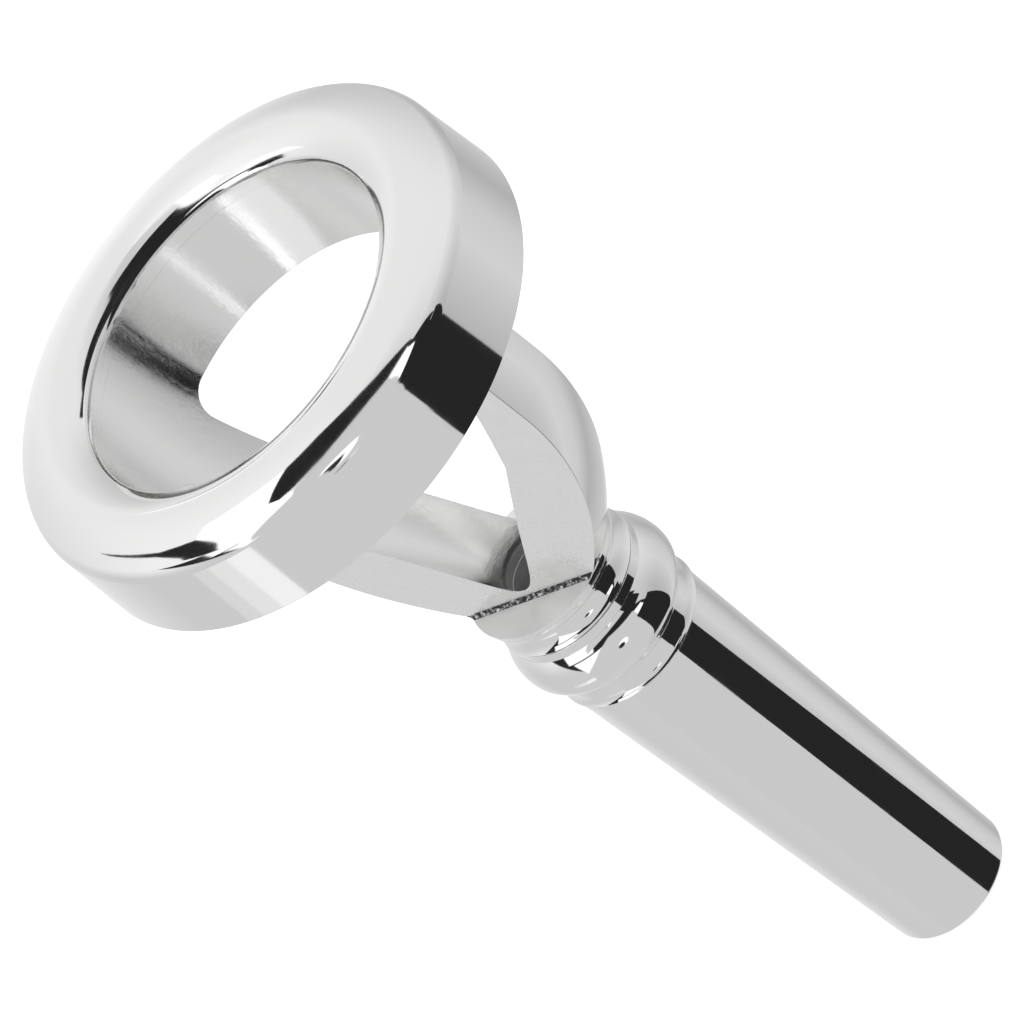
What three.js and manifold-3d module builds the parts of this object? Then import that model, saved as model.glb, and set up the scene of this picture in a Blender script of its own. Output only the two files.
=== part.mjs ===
// Cut-away practice mouthpiece for a small-shank trombone: a cushion rim, a cup whose wall is milled
// away on two sides so that only two arms are left, a turned neck and a tapered shank.
// Millimetres, +Z up along the bore towards the rim, origin at the centre of the shank's end face,
// the two arms on +X and -X, the two windows open towards +Y and -Y.
import * as THREE from 'three';
import { mergeVertices } from 'three/addons/utils/BufferGeometryUtils.js';
import Module from 'manifold-3d';

const wasm = await Module();
wasm.setup();

// ---- driving dimensions -------------------------------------------------------------------------
// A "depth" is measured down the bore from the crest of the rim. A "handle" is a Bezier control point,
// given as [radius, depth].
const OVERALL_LENGTH = 80.9;

// Rim ring.
const CREST_RADIUS = 15.6;
const OUTER_RADIUS = 19.6;
const OUTER_ROUND = 1.2;
const OUTER_ROUND_DEPTH = 2.35;
const FACE_EDGE_SLOPE = THREE.MathUtils.degToRad(33);
const BAND_BASE_RADIUS = 19.85;
const BAND_DEPTH = 8.3;
const BORE_RADIUS = 13.0;
const BITE_ROUND = 0.8;
const BITE_ROUND_DEPTH = 1.65;
const BITE_FACE_SLOPE = THREE.MathUtils.degToRad(40);
const RIM_SEAT_DEPTH = 2.6;
const EDGE_BREAK = 0.15;

// Cup cage, outside.
const SLEEVE_RADIUS = 13.85;
const SHOULDER_DEPTH = 17.0;
const SHOULDER_HANDLE = [13.85, 23.2];
const ARM_FOOT_HANDLE = [10.1, 29.5];
const LEDGE_DEPTH = 33.8;
const LEDGE_RADIUS = 6.28;
const LEDGE_LIP = 0.1;
const LEDGE_BAND_DEPTH = 34.7;
const LEDGE_BAND_RADIUS = 6.1;
const WAIST_TOP_HANDLE = [5.62, 34.85];
const WAIST_RADIUS = 5.59;
const WAIST_DEPTH = 35.42;
const COVE_HANDLE = [5.59, 36.18];
const CAGE_END_RADIUS = 6.1;
const CAGE_END_DEPTH = 36.67;

// Cup cage, inside.
const BORE_HANDLE = [13.0, 11.5];
const BOWL_HANDLE = [11.45, 14.4];
const BOWL_RADIUS = 9.05;
const BOWL_DEPTH = 20.7;
const FUNNEL_HANDLE = [6.6, 24.6];
const THROAT_HANDLE = [3.9, 29.0];
const THROAT_RADIUS = 2.9;
const THROAT_DEPTH = 33.35;
const SOCKET_RADIUS = 4.5;
const SOCKET_FLOOR_DEPTH = 34.6;

// The milled windows and the arms that they leave.
const ARM_HALF_WIDTH = 3.0;
const WINDOW_TOP_DEPTH = 10.0;
const WINDOW_TOP_ROUND = 2.0;
const WINDOW_ROOT_ROUND = 0.3;

// Neck bead and collar.
const BEAD_LAND_RADIUS = 6.1;
const BEAD_LAND_DEPTH = 37.5;
const BEAD_PEAK_RADIUS = 7.07;
const BEAD_PEAK_DEPTH = 40.0;
const BEAD_CROWN_HANDLE = [7.07, 38.54];
const BEAD_HEEL_HANDLE = [7.07, 41.0];
const BEAD_HEEL_RADIUS = 6.3;
const BEAD_END_DEPTH = 41.5;
const COLLAR_LIP_RADIUS = 6.14;
const COLLAR_LIP_DEPTH = 41.75;
const COLLAR_RADIUS = 6.02;
const COLLAR_TOP_DEPTH = 41.95;
const FLARE_DEPTH = 43.0;
const FLARE_HANDLE = [6.02, 43.38];
const FLARE_RADIUS = 6.3;
const FLARE_END_DEPTH = 43.65;
const COLLAR_END_DEPTH = 43.75;

// Shank, with the spigot that carries the neck rings and enters the cage.
const SHANK_TOP_RADIUS = 6.11;
const SHANK_END_RADIUS = 5.26;
const SHANK_END_ROUND = 0.35;
const BACKBORE_DEPTH = 40.0;
const BACKBORE_HANDLE = [3.35, 50.0];
const BACKBORE_END_RADIUS = 4.35;

// Clearances: a hairline between faces that butt, a working gap round the spigots.
const HAIRLINE = 0.05;
const SPIGOT_GAP = 0.3;

const TURN_SEGMENTS = 48;
const CURVE_STEPS = 6;

// ---- materials ----------------------------------------------------------------------------------
const polishedPlate = new THREE.MeshStandardMaterial({ color: 0xd9dadb, roughness: 0.06, metalness: 1.0 });
const satinPlate = new THREE.MeshStandardMaterial({ color: 0xc4c5c6, roughness: 0.32, metalness: 1.0 });

// ---- helpers ------------------------------------------------------------------------------------
// Height of a point that lies a given depth below the crest of the rim.
const at = (depth) => OVERALL_LENGTH - depth;

// A handle as the (radius, height) pair that a path takes.
const handle = ([radius, depth]) => [radius, at(depth)];

// A closed outline of (radius, height) points, drawn anticlockwise and turned about the bore.
function turned(outline) {
  const points = outline.getPoints(CURVE_STEPS);
  points.push(points[0].clone());
  const geometry = new THREE.LatheGeometry(points, TURN_SEGMENTS);
  geometry.rotateX(Math.PI / 2);
  return geometry;
}

function toSolid(geometry) {
  const bare = geometry.clone();
  bare.deleteAttribute('normal');
  bare.deleteAttribute('uv');
  const merged = mergeVertices(bare, 1e-5);
  const mesh = new wasm.Mesh({
    numProp: 3,
    vertProperties: new Float32Array(merged.attributes.position.array),
    triVerts: new Uint32Array(merged.index.array),
  });
  return new wasm.Manifold(mesh);
}

function toGeometry(solid) {
  const mesh = solid.getMesh();
  const geometry = new THREE.BufferGeometry();
  geometry.setAttribute('position', new THREE.BufferAttribute(mesh.vertProperties, 3));
  geometry.setIndex(new THREE.BufferAttribute(mesh.triVerts, 1));
  geometry.computeVertexNormals();
  return geometry;
}

function named(name, geometry, material) {
  const mesh = new THREE.Mesh(geometry, material);
  mesh.name = name;
  return mesh;
}

// ---- rim ring: cushion rim and plain outer band, bored out below to drop over the cup's sleeve ----
function rimRing() {
  const counterbore = SLEEVE_RADIUS + SPIGOT_GAP;
  const outerCentre = OUTER_RADIUS - OUTER_ROUND;
  const faceEdgeAngle = Math.PI / 2 - FACE_EDGE_SLOPE;
  const faceEdgeRadius = outerCentre + OUTER_ROUND * Math.cos(faceEdgeAngle);
  const faceEdgeDepth = OUTER_ROUND_DEPTH - OUTER_ROUND * Math.sin(faceEdgeAngle);
  const faceHandle = [faceEdgeRadius - faceEdgeDepth / Math.tan(FACE_EDGE_SLOPE), 0];
  const biteCentre = BORE_RADIUS + BITE_ROUND;
  const biteAngle = Math.PI / 2 + BITE_FACE_SLOPE;
  const biteRadius = biteCentre + BITE_ROUND * Math.cos(biteAngle);
  const biteDepth = BITE_ROUND_DEPTH - BITE_ROUND * Math.sin(biteAngle);
  const biteHandle = [biteRadius + biteDepth / Math.tan(BITE_FACE_SLOPE), 0];
  const outline = new THREE.Path();
  outline.moveTo(counterbore, at(BAND_DEPTH));
  outline.lineTo(BAND_BASE_RADIUS - EDGE_BREAK, at(BAND_DEPTH));
  outline.lineTo(BAND_BASE_RADIUS, at(BAND_DEPTH - EDGE_BREAK));
  outline.lineTo(OUTER_RADIUS, at(OUTER_ROUND_DEPTH));
  outline.absarc(outerCentre, at(OUTER_ROUND_DEPTH), OUTER_ROUND, 0, faceEdgeAngle);
  outline.quadraticCurveTo(...handle(faceHandle), CREST_RADIUS, at(0));
  outline.quadraticCurveTo(...handle(biteHandle), biteRadius, at(biteDepth));
  outline.absarc(biteCentre, at(BITE_ROUND_DEPTH), BITE_ROUND, biteAngle, Math.PI);
  outline.lineTo(BORE_RADIUS, at(RIM_SEAT_DEPTH));
  outline.lineTo(counterbore, at(RIM_SEAT_DEPTH));
  return named('rim_ring', turned(outline), polishedPlate);
}

// ---- cup cage: bore sleeve, two arms and the base with its ledge ----------------------------------
function cageBlank() {
  const outline = new THREE.Path();
  outline.moveTo(SOCKET_RADIUS, at(CAGE_END_DEPTH));
  outline.lineTo(CAGE_END_RADIUS, at(CAGE_END_DEPTH));
  outline.quadraticCurveTo(...handle(COVE_HANDLE), WAIST_RADIUS, at(WAIST_DEPTH));
  outline.quadraticCurveTo(...handle(WAIST_TOP_HANDLE), LEDGE_BAND_RADIUS, at(LEDGE_BAND_DEPTH));
  outline.lineTo(LEDGE_RADIUS, at(LEDGE_DEPTH + LEDGE_LIP));
  outline.bezierCurveTo(...handle(ARM_FOOT_HANDLE), ...handle(SHOULDER_HANDLE),
    SLEEVE_RADIUS, at(SHOULDER_DEPTH));
  outline.lineTo(SLEEVE_RADIUS, at(RIM_SEAT_DEPTH + HAIRLINE));
  outline.lineTo(BORE_RADIUS, at(RIM_SEAT_DEPTH + HAIRLINE));
  outline.bezierCurveTo(...handle(BORE_HANDLE), ...handle(BOWL_HANDLE), BOWL_RADIUS, at(BOWL_DEPTH));
  outline.bezierCurveTo(...handle(FUNNEL_HANDLE), ...handle(THROAT_HANDLE), THROAT_RADIUS, at(THROAT_DEPTH));
  outline.lineTo(THROAT_RADIUS, at(SOCKET_FLOOR_DEPTH));
  outline.lineTo(SOCKET_RADIUS, at(SOCKET_FLOOR_DEPTH));
  return turned(outline);
}

// The milling cut on one side (+1 or -1), drawn as (sideways, height) and run through along X.
function windowCut(side) {
  const reach = SLEEVE_RADIUS + 4;
  const top = at(WINDOW_TOP_DEPTH);
  const floor = at(LEDGE_DEPTH);
  const cornerX = ARM_HALF_WIDTH + WINDOW_TOP_ROUND;
  const rootX = ARM_HALF_WIDTH + WINDOW_ROOT_ROUND;
  const shape = new THREE.Shape();
  shape.moveTo(reach, floor);
  shape.lineTo(reach, top);
  shape.lineTo(cornerX, top);
  shape.absarc(cornerX, top - WINDOW_TOP_ROUND, WINDOW_TOP_ROUND, Math.PI / 2, Math.PI);
  shape.lineTo(ARM_HALF_WIDTH, floor + WINDOW_ROOT_ROUND);
  shape.absarc(rootX, floor + WINDOW_ROOT_ROUND, WINDOW_ROOT_ROUND, Math.PI, 1.5 * Math.PI);
  const cut = new THREE.ExtrudeGeometry(shape, {
    depth: 2 * reach,
    steps: 1,
    bevelEnabled: false,
    curveSegments: CURVE_STEPS,
  });
  cut.translate(0, 0, -reach);
  cut.rotateX(Math.PI / 2);
  cut.rotateZ(side * Math.PI / 2);
  return cut;
}

function cupCage() {
  let solid = toSolid(cageBlank());
  for (const side of [1, -1]) {
    solid = solid.subtract(toSolid(windowCut(side)));
  }
  return named('cup_cage', toGeometry(solid), satinPlate);
}

// ---- neck bead: a narrow land that swells into the large round bead --------------------------------
function neckBead() {
  const top = CAGE_END_DEPTH + HAIRLINE;
  const outline = new THREE.Path();
  outline.moveTo(SOCKET_RADIUS, at(BEAD_END_DEPTH));
  outline.lineTo(BEAD_HEEL_RADIUS, at(BEAD_END_DEPTH));
  outline.quadraticCurveTo(...handle(BEAD_HEEL_HANDLE), BEAD_PEAK_RADIUS, at(BEAD_PEAK_DEPTH));
  outline.quadraticCurveTo(...handle(BEAD_CROWN_HANDLE), BEAD_LAND_RADIUS, at(BEAD_LAND_DEPTH));
  outline.lineTo(BEAD_LAND_RADIUS, at(top));
  outline.lineTo(SOCKET_RADIUS, at(top));
  return named('neck_bead', turned(outline), polishedPlate);
}

// ---- neck collar: the thin ring between the bead and the shank, flared at its lower edge ---------------
function neckCollar() {
  const top = BEAD_END_DEPTH + HAIRLINE;
  const outline = new THREE.Path();
  outline.moveTo(SOCKET_RADIUS, at(COLLAR_END_DEPTH));
  outline.lineTo(FLARE_RADIUS, at(COLLAR_END_DEPTH));
  outline.lineTo(FLARE_RADIUS, at(FLARE_END_DEPTH));
  outline.quadraticCurveTo(...handle(FLARE_HANDLE), COLLAR_RADIUS, at(FLARE_DEPTH));
  outline.lineTo(COLLAR_RADIUS, at(COLLAR_TOP_DEPTH));
  outline.lineTo(COLLAR_LIP_RADIUS, at(COLLAR_LIP_DEPTH));
  outline.lineTo(COLLAR_RADIUS, at(top));
  outline.lineTo(SOCKET_RADIUS, at(top));
  return named('neck_collar', turned(outline), polishedPlate);
}

// ---- shank: tapered tube, shouldered under the collar, with its spigot and backbore ----------------
function shank() {
  const spigotRadius = SOCKET_RADIUS - SPIGOT_GAP;
  const spigotTop = at(SOCKET_FLOOR_DEPTH + HAIRLINE);
  const shoulder = at(COLLAR_END_DEPTH + HAIRLINE);
  const endCentre = SHANK_END_RADIUS - SHANK_END_ROUND;
  const outline = new THREE.Path();
  outline.moveTo(BACKBORE_END_RADIUS, 0);
  outline.lineTo(endCentre, 0);
  outline.absarc(endCentre, SHANK_END_ROUND, SHANK_END_ROUND, -Math.PI / 2, 0);
  outline.lineTo(SHANK_TOP_RADIUS, shoulder);
  outline.lineTo(spigotRadius, shoulder);
  outline.lineTo(spigotRadius, spigotTop);
  outline.lineTo(THROAT_RADIUS, spigotTop);
  outline.lineTo(THROAT_RADIUS, at(BACKBORE_DEPTH));
  outline.quadraticCurveTo(...handle(BACKBORE_HANDLE), BACKBORE_END_RADIUS, 0);
  return named('shank', turned(outline), polishedPlate);
}

const mouthpiece = new THREE.Group();
mouthpiece.add(rimRing(), cupCage(), neckBead(), neckCollar(), shank());

export default mouthpiece;
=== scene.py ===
"""Looks of a cut-away practice mouthpiece for a small-shank trombone, in silver-plated brass.

Every piece is a surface of revolution about the bore (+Z), and the cup cage has two windows milled
through its wall. Outlines are drawn in millimetres as (radius, depth), where depth is measured down
the bore from the crest of the rim, and the finished meshes are in metres.
"""
import math

import bpy
import numpy as np
from mathutils import Matrix, Vector


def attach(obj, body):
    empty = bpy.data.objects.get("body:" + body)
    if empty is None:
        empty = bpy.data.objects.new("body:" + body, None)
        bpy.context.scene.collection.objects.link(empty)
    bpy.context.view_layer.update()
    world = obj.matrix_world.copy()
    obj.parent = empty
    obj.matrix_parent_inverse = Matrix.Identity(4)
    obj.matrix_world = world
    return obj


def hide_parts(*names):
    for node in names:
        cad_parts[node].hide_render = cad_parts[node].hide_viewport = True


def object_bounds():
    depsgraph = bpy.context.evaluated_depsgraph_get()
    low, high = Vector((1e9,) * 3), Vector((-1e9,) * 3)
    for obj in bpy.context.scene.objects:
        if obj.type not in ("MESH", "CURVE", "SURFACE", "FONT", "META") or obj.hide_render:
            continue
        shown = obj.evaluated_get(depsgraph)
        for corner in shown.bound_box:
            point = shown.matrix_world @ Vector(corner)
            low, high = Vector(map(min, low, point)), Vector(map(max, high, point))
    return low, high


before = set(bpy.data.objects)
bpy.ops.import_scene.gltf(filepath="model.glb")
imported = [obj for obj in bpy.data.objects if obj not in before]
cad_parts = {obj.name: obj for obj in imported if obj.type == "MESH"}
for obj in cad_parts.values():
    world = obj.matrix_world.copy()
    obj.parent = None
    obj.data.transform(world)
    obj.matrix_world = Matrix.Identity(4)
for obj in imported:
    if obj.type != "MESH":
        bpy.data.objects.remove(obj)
CAD_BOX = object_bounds()

MM = 0.001
LENGTH = CAD_BOX[1].z / MM

# ---- dimensions in millimetres ------------------------------------------------------------------
CREST_RADIUS = 15.6
OUTER_RADIUS = 19.6
OUTER_ROUND = 1.2
OUTER_ROUND_DEPTH = 2.35
FACE_EDGE_SLOPE = math.radians(33)
BAND_BASE_RADIUS = 19.85
BAND_DEPTH = 8.3
BORE_RADIUS = 13.0
BITE_ROUND = 0.8
BITE_ROUND_DEPTH = 1.65
BITE_FACE_SLOPE = math.radians(40)
RIM_SEAT_DEPTH = 2.6
SLEEVE_RADIUS = 13.85

SHOULDER_DEPTH = 17.0
SHOULDER_HANDLE = (13.85, 23.2)
ARM_FOOT_HANDLE = (10.1, 29.5)
LEDGE_DEPTH = 33.8
LEDGE_RADIUS = 6.28
LEDGE_BAND = (6.1, 34.7)
LEDGE_LIP_DEPTH = 34.35
WAIST_TOP_HANDLE = (5.62, 34.85)
WAIST = (5.59, 35.42)
COVE_HANDLE = (5.59, 36.18)
CAGE_END_RADIUS = 6.1
CAGE_END_DEPTH = 36.67
NECK_GROOVE = 0.07

BORE_HANDLE = (13.0, 11.5)
BOWL_HANDLE = (11.45, 14.4)
BOWL = (9.05, 20.7)
FUNNEL_HANDLE = (6.6, 24.6)
THROAT_HANDLE = (3.9, 29.0)
THROAT_RADIUS = 2.9
THROAT_DEPTH = 33.35
SOCKET_RADIUS = 4.5
SOCKET_FLOOR_DEPTH = 34.6

ARM_HALF_WIDTH = 3.0
WINDOW_TOP_DEPTH = 10.0
WINDOW_TOP_ROUND = 2.0
WINDOW_ROOT_ROUND = 0.3

BEAD_LAND_RADIUS = 6.1
BEAD_LAND_DEPTH = 37.5
BEAD_PEAK = (7.07, 40.0)
BEAD_FOOT = (6.06, 37.56)
BEAD_CROWN_HANDLE = (7.07, 38.54)
BEAD_HEEL_HANDLE = (7.07, 41.0)
BEAD_HEEL_RADIUS = 6.3
BEAD_END_DEPTH = 41.5
COLLAR_RADIUS = 6.02
COLLAR_LIP = (6.2, 41.6), (6.2, 41.85)
COLLAR_TOP_DEPTH = 41.95
FLARE_DEPTH = 43.0
FLARE_HANDLE = (6.02, 43.38)
FLARE_RADIUS = 6.3
FLARE_END_DEPTH = 43.65
COLLAR_END_DEPTH = 43.75

SHANK_TOP_RADIUS = 6.11
SHANK_END_RADIUS = 5.26
SHANK_END_ROUND = 0.35
BACKBORE_DEPTH = 40.0
BACKBORE_HANDLE = (3.35, 50.0)
BACKBORE_END_RADIUS = 4.35

# Gaps between pieces: at their end faces, at the rim's seat, and round a spigot. FINE_GAP is also
# the size of the round on the sleeve's inner edge.
HAIRLINE = 0.05
FINE_GAP = 0.008
SPIGOT_GAP = 0.3
EDGE_BREAK = 0.07
SHARP_TURN = math.radians(12)
# Largest part of a stretch, and of a row across a cut face, that an edge break may use up.
STRETCH_TRIM_SHARE = 0.35
CUT_TRIM_SHARE = 0.3
# Corners that agree to this many parts of a millimetre share a vertex.
WELD_PER_MM = 1e4

# Which surface a face belongs to.
OUTSIDE, BORE, MILLED, LEDGE, ROOT, THROAT = range(6)

TURN_STEPS = 256
ARM_STEPS = 18
CUT_STEPS = 14
LEDGE_STEPS = 24
ROOT_STEPS = 6
SIDE_STEPS = 90
CORNER_STEPS = 20
TOP_STEPS = 48
SLEEVE_STEPS = 24
BREAK_STEPS = 4
BELOW_CROSSING_STEPS = 4
BISECTIONS = 60
# Step for slopes along a curve, and the slack in comparing heights and widths.
PROBE = 1e-4
SLACK = 1e-9
# A row narrower than this, in millimetres, has no direction across the cut face.
NO_WIDTH = 1e-6


# ---- outlines -----------------------------------------------------------------------------------
def point_mm(radius, depth):
    """A (radius, height) point from a radius and a depth below the crest."""
    return np.array((radius, LENGTH - depth))


def bezier(points, t):
    """Point on the Bezier curve of any degree with these control points."""
    level = list(points)
    while len(level) > 1:
        level = [a + (b - a) * t for a, b in zip(level, level[1:])]
    return level[0]


class Stretch:
    """One smooth stretch of an outline, from t = start to t = stop."""

    def __init__(self, path, steps, look):
        self.path = path
        self.steps = steps
        self.look = look
        self.start = 0.0
        self.stop = 1.0
        self.corner_kept = False

    def speed(self, t):
        return (self.path(t + PROBE) - self.path(t - PROBE)) / (2 * PROBE)

    def normal(self, t):
        """Unit normal on the right of the direction of travel."""
        dr, dz = self.speed(t)
        return np.array((dz, -dr)) / math.hypot(dr, dz)

    def samples(self):
        """(point, normal) pairs from one end to the other."""
        ts = np.linspace(self.start, self.stop, self.steps + 1)
        return [(self.path(t), self.normal(t)) for t in ts]


class Outline:
    """A (radius, height) outline drawn anticlockwise, so that its normals point out of the metal."""

    def __init__(self, radius, depth):
        self.here = point_mm(radius, depth)
        self.stretches = []
        self.look = OUTSIDE

    def use(self, look):
        """Sets the surface that the stretches drawn from here on belong to."""
        self.look = look

    def curve(self, *handles, steps=24):
        points = [self.here] + [point_mm(*h) for h in handles]
        self.stretches.append(Stretch(lambda t: bezier(points, t), steps, self.look))
        self.here = points[-1]
        return self

    def line(self, radius, depth, steps=1):
        return self.curve((radius, depth), steps=steps)

    def arc(self, radius, depth, size, first, last, steps=12):
        """An arc about (radius, depth) between two angles, measured from the outward direction."""
        centre = point_mm(radius, depth)

        def path(t):
            angle = first + (last - first) * t
            return centre + size * np.array((math.cos(angle), math.sin(angle)))

        self.stretches.append(Stretch(path, steps, self.look))
        self.here = path(1.0)
        return self

    def keep_corner(self):
        """Leaves the corner at the end of the last stretch sharp."""
        self.stretches[-1].corner_kept = True
        return self

    def softened(self, closed=True):
        """The stretches with a small round put in at every sharp corner."""
        result = []
        count = len(self.stretches)
        for i, one in enumerate(self.stretches):
            result.append(one)
            if i == count - 1 and not closed:
                break
            other = self.stretches[(i + 1) % count]
            before, after = one.speed(1.0), other.speed(0.0)
            run_before, run_after = np.hypot(*before), np.hypot(*after)
            cosine = before @ after / (run_before * run_after)
            if one.corner_kept or cosine > math.cos(SHARP_TURN):
                continue
            trim = min(EDGE_BREAK, STRETCH_TRIM_SHARE * run_before, STRETCH_TRIM_SHARE * run_after)
            one.stop = 1.0 - trim / run_before
            other.start = trim / run_after
            ends = [one.path(one.stop), one.path(1.0), other.path(other.start)]
            result.append(Stretch(lambda t, ends=ends: bezier(ends, t), BREAK_STEPS, one.look))
        return result


# ---- meshes -------------------------------------------------------------------------------------
class Skin:
    """Faces collected with the exact normal of each corner. Corners at one place share a vertex."""

    def __init__(self):
        self.index = {}
        self.points = []
        self.faces = []
        self.normals = []
        self.looks = []

    def vertex(self, point):
        key = tuple(int(round(c * WELD_PER_MM)) for c in point)
        if key not in self.index:
            self.index[key] = len(self.points)
            self.points.append([c * MM for c in point])
        return self.index[key]

    def face(self, corners, look):
        """Adds a face, leaving out corners that fall on the one before."""
        kept, normals = [], []
        for point, normal in corners:
            vertex = self.vertex(point)
            if vertex not in kept:
                kept.append(vertex)
                normals.append(normal)
        if len(kept) < 3:
            return
        a, b, c = (np.array(self.points[v]) for v in kept[:3])
        if np.cross(b - a, c - b) @ sum(normals) < 0:
            kept, normals = kept[::-1], normals[::-1]
        self.faces.append(kept)
        self.normals.extend(normals)
        self.looks.append(look)

    def grid(self, rows, look, mirrored=False):
        """Quads between successive rows of (point, normal) corners."""
        for low, high in zip(rows, rows[1:]):
            for i in range(len(low) - 1):
                self.patch([low[i], low[i + 1], high[i + 1], high[i]], look, mirrored)

    def patch(self, corners, look, mirrored):
        """One face, and with mirrored its copies in the other three quarters."""
        if not mirrored:
            self.face(corners, look)
            return
        for sx in (1, -1):
            for sy in (1, -1):
                sign = np.array((sx, sy, 1))
                copy = [(point * sign, normal * sign) for point, normal in corners]
                self.face(copy if sx * sy > 0 else copy[::-1], look)

    def build(self, name, materials):
        mesh = bpy.data.meshes.new(name)
        mesh.from_pydata(self.points, [], self.faces)
        for material in materials:
            mesh.materials.append(material)
        mesh.polygons.foreach_set("material_index", self.looks)
        mesh.shade_smooth()
        mesh.normals_split_custom_set([tuple(n) for n in self.normals])
        mesh.update()
        piece = bpy.data.objects.new(name, mesh)
        bpy.context.scene.collection.objects.link(piece)
        return piece


def around(radius, height, normal, angle):
    """The (point, normal) corner of an outline sample turned to an angle about the bore."""
    c, s = math.cos(angle), math.sin(angle)
    point = np.array((radius * c, radius * s, height))
    return point, np.array((normal[0] * c, normal[0] * s, normal[1]))


def spin(skin, stretches, angles, mirrored=False):
    """Turns stretches about the bore through the given angles."""
    for stretch in stretches:
        rows = []
        for (radius, height), normal in stretch.samples():
            rows.append([around(radius, height, normal, a) for a in angles])
        skin.grid(rows, stretch.look, mirrored)


def turned(name, outline, materials):
    """A closed piece turned from an outline."""
    skin = Skin()
    angles = np.linspace(0, 2 * math.pi, TURN_STEPS + 1)
    spin(skin, outline.softened(), angles)
    return skin.build(name, materials)


# ---- turned pieces ------------------------------------------------------------------------------
def rim_outline():
    """Cushion rim and plain band, drawn from the foot of the counterbore."""
    counterbore = SLEEVE_RADIUS + SPIGOT_GAP
    outer_centre = OUTER_RADIUS - OUTER_ROUND
    face_turn = math.pi / 2 - FACE_EDGE_SLOPE
    face_radius = outer_centre + OUTER_ROUND * math.cos(face_turn)
    face_depth = OUTER_ROUND_DEPTH - OUTER_ROUND * math.sin(face_turn)
    bite_centre = BORE_RADIUS + BITE_ROUND
    bite_turn = math.pi / 2 + BITE_FACE_SLOPE
    bite_radius = bite_centre + BITE_ROUND * math.cos(bite_turn)
    bite_depth = BITE_ROUND_DEPTH - BITE_ROUND * math.sin(bite_turn)
    outline = Outline(counterbore, BAND_DEPTH)
    outline.line(BAND_BASE_RADIUS, BAND_DEPTH)
    outline.line(OUTER_RADIUS, OUTER_ROUND_DEPTH, steps=4)
    outline.arc(outer_centre, OUTER_ROUND_DEPTH, OUTER_ROUND, 0, face_turn)
    outline.curve((face_radius - face_depth / math.tan(FACE_EDGE_SLOPE), 0), (CREST_RADIUS, 0))
    outline.curve((bite_radius + bite_depth / math.tan(BITE_FACE_SLOPE), 0), (bite_radius, bite_depth))
    outline.arc(bite_centre, BITE_ROUND_DEPTH, BITE_ROUND, bite_turn, math.pi)
    outline.use(BORE)
    seat = RIM_SEAT_DEPTH + HAIRLINE - FINE_GAP
    outline.line(BORE_RADIUS, seat).keep_corner()
    outline.line(counterbore, seat)
    outline.line(counterbore, BAND_DEPTH)
    return outline


def bead_outline():
    """A narrow land with rounded edges, and the round bead."""
    top = CAGE_END_DEPTH + HAIRLINE
    outline = Outline(SOCKET_RADIUS, BEAD_END_DEPTH)
    outline.line(BEAD_HEEL_RADIUS, BEAD_END_DEPTH)
    outline.curve(BEAD_HEEL_HANDLE, BEAD_PEAK)
    outline.curve(BEAD_CROWN_HANDLE, BEAD_FOOT, steps=36)
    outline.line(BEAD_LAND_RADIUS, BEAD_LAND_DEPTH)
    outline.line(BEAD_LAND_RADIUS, top)
    outline.line(SOCKET_RADIUS, top)
    outline.line(SOCKET_RADIUS, BEAD_END_DEPTH)
    return outline


def collar_outline():
    """The thin ring under the bead: a small roll, a band and a flare."""
    top = BEAD_END_DEPTH + HAIRLINE
    outline = Outline(SOCKET_RADIUS, COLLAR_END_DEPTH)
    outline.line(FLARE_RADIUS, COLLAR_END_DEPTH)
    outline.line(FLARE_RADIUS, FLARE_END_DEPTH)
    outline.curve(FLARE_HANDLE, (COLLAR_RADIUS, FLARE_DEPTH))
    outline.line(COLLAR_RADIUS, COLLAR_TOP_DEPTH)
    outline.curve(*COLLAR_LIP[::-1], (COLLAR_RADIUS, top), steps=12)
    outline.line(SOCKET_RADIUS, top)
    outline.line(SOCKET_RADIUS, COLLAR_END_DEPTH)
    return outline


def shank_outline():
    """The tapered tube with its spigot, bored through and opened out below as the backbore."""
    spigot = SOCKET_RADIUS - SPIGOT_GAP
    spigot_top = SOCKET_FLOOR_DEPTH + HAIRLINE
    shoulder = COLLAR_END_DEPTH + HAIRLINE
    end_centre = SHANK_END_RADIUS - SHANK_END_ROUND
    outline = Outline(BACKBORE_END_RADIUS, LENGTH)
    outline.line(end_centre, LENGTH)
    outline.arc(end_centre, LENGTH - SHANK_END_ROUND, SHANK_END_ROUND, -math.pi / 2, 0)
    outline.line(SHANK_TOP_RADIUS, shoulder, steps=12)
    outline.line(spigot, shoulder)
    outline.line(spigot, spigot_top)
    outline.use(BORE)
    outline.line(THROAT_RADIUS, spigot_top)
    outline.line(THROAT_RADIUS, BACKBORE_DEPTH)
    outline.curve(BACKBORE_HANDLE, (BACKBORE_END_RADIUS, LENGTH), steps=40)
    return outline


# ---- cup cage -----------------------------------------------------------------------------------
class Wall:
    """A wall surface of the cage, as Bezier curves that run down in depth."""

    def __init__(self, *curves):
        self.curves = [[point_mm(*p) for p in curve] for curve in curves]

    def at(self, height):
        """(radius, normal) at a height. The normal points away from the bore."""
        curve = next((c for c in self.curves if height >= c[-1][1] - SLACK), self.curves[-1])
        low, high = 0.0, 1.0
        for _ in range(BISECTIONS):
            middle = (low + high) / 2
            if bezier(curve, middle)[1] > height:
                low = middle
            else:
                high = middle
        dr, dz = bezier(curve, low + PROBE) - bezier(curve, low - PROBE)
        return bezier(curve, low)[0], np.array((-dz, dr)) / math.hypot(dr, dz)


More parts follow.
